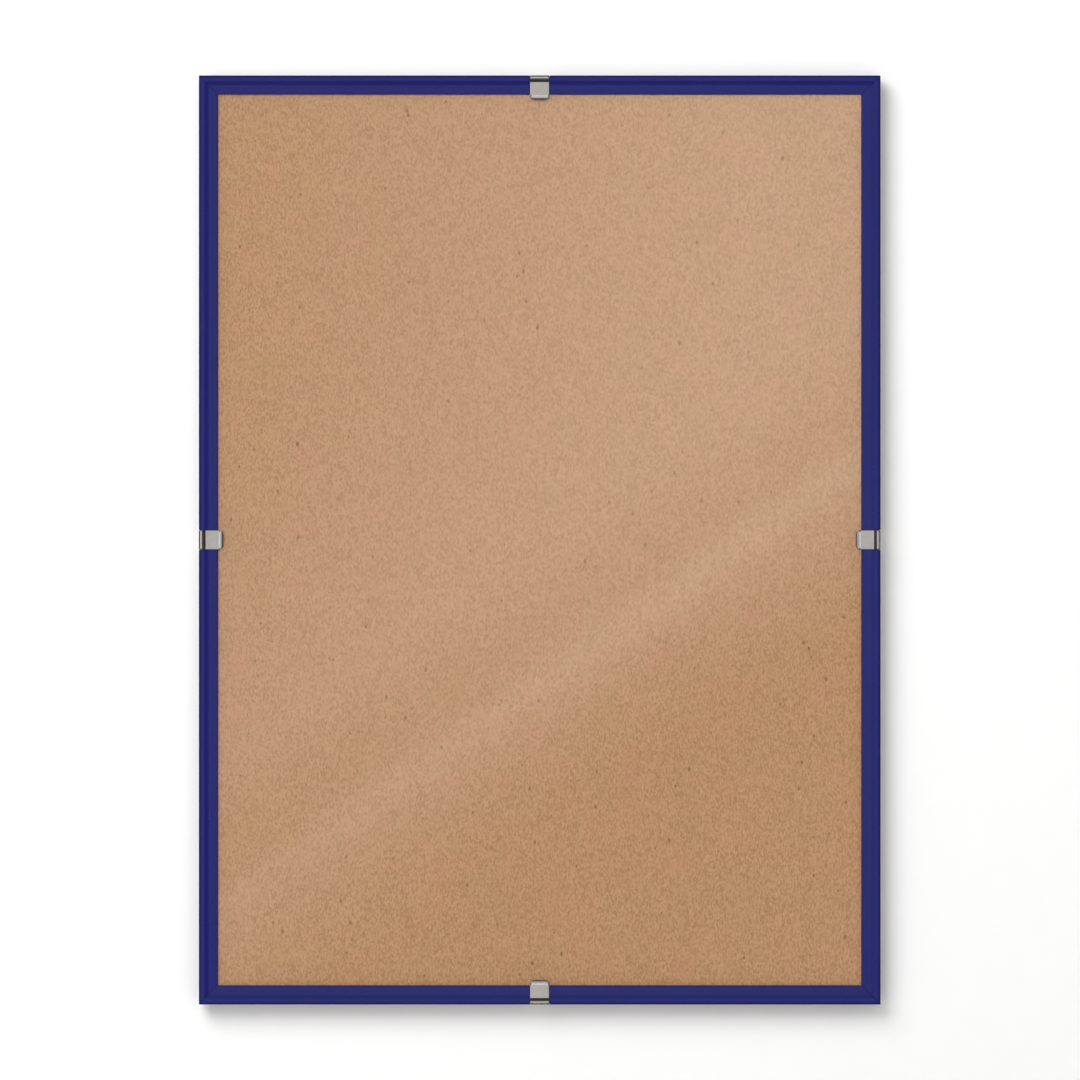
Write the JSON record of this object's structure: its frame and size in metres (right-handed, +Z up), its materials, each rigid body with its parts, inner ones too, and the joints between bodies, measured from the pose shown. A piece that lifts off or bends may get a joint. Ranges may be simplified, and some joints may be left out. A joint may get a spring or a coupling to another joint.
{
  "type": "clip frame",
  "caption": "Upright glazed frame with a mitred glossy plastic edge moulding, a fibre backing board and a push-on spring clip at the middle of each side; hangs on a wall by a swinging D ring.",
  "frame": {"origin": "where the wall hook carries the raised ring of the portrait hanger, on the inside of the ring's crown", "axes": "+Z up the frame's height, +Y towards the wall, so the glass faces -Y, and +X to the right as seen from the front"},
  "size_m": [0.35, 0.0132, 0.4769],
  "materials": {
    "rail_plastic": "dark blue, glossy, extruded",
    "key_plastic": "black-grey, moulded",
    "pane_glass": "clear float glass, faint green edge",
    "fibre_board": "bare medium-density fibre board, fine mottled fibres",
    "spring_steel": "satin nickel plate over spring steel",
    "zinc_steel": "zinc plated, dull",
    "nickel_wire": "nickel plated wire",
    "bumper_rubber": "soft dark rubber, satin"
  },
  "bodies": {
    "frame": {"rail_top": "rail_plastic", "rail_right": "rail_plastic", "rail_bottom": "rail_plastic", "rail_left": "rail_plastic", "corner_key_top_left": "key_plastic", "corner_key_top_right": "key_plastic", "corner_key_bottom_right": "key_plastic", "corner_key_bottom_left": "key_plastic", "glass_pane": "pane_glass", "backing_board": "fibre_board", "hanger_strap_portrait": "zinc_steel", "hanger_pins_portrait": "zinc_steel", "hanger_strap_landscape": "zinc_steel", "hanger_pins_landscape": "zinc_steel", "bumper_top_left": "bumper_rubber", "bumper_top_right": "bumper_rubber", "bumper_bottom_right": "bumper_rubber", "bumper_bottom_left": "bumper_rubber"},
    "clip_top": {"clip_top": "spring_steel"},
    "clip_right": {"clip_right": "spring_steel"},
    "clip_bottom": {"clip_bottom": "spring_steel"},
    "clip_left": {"clip_left": "spring_steel"},
    "ring_portrait": {"hanger_ring_portrait": "nickel_wire"},
    "ring_landscape": {"hanger_ring_landscape": "nickel_wire"}
  },
  "joints": [
    {"name": "clip_top_pull", "type": "slide", "parent": "frame", "child": "clip_top", "axis": [0, 0, 1], "range_m": [0, 0.018]},
    {"name": "clip_right_pull", "type": "slide", "parent": "frame", "child": "clip_right", "axis": [1, 0, 0], "range_m": [0, 0.018]},
    {"name": "clip_bottom_pull", "type": "slide", "parent": "frame", "child": "clip_bottom", "axis": [0, 0, -1], "range_m": [0, 0.018]},
    {"name": "clip_left_pull", "type": "slide", "parent": "frame", "child": "clip_left", "axis": [-1, 0, 0], "range_m": [0, 0.018]},
    {"name": "ring_portrait_swing", "type": "hinge", "parent": "frame", "child": "ring_portrait", "pos_m": [0, 0.00073, -0.01398], "axis": [-1, 0, 0], "range_deg": [0, 182]},
    {"name": "ring_landscape_swing", "type": "hinge", "parent": "frame", "child": "ring_landscape", "pos_m": [-0.12895, 0.00073, -0.20643], "axis": [0, 0, -1], "range_deg": [0, 182]}
  ]
}
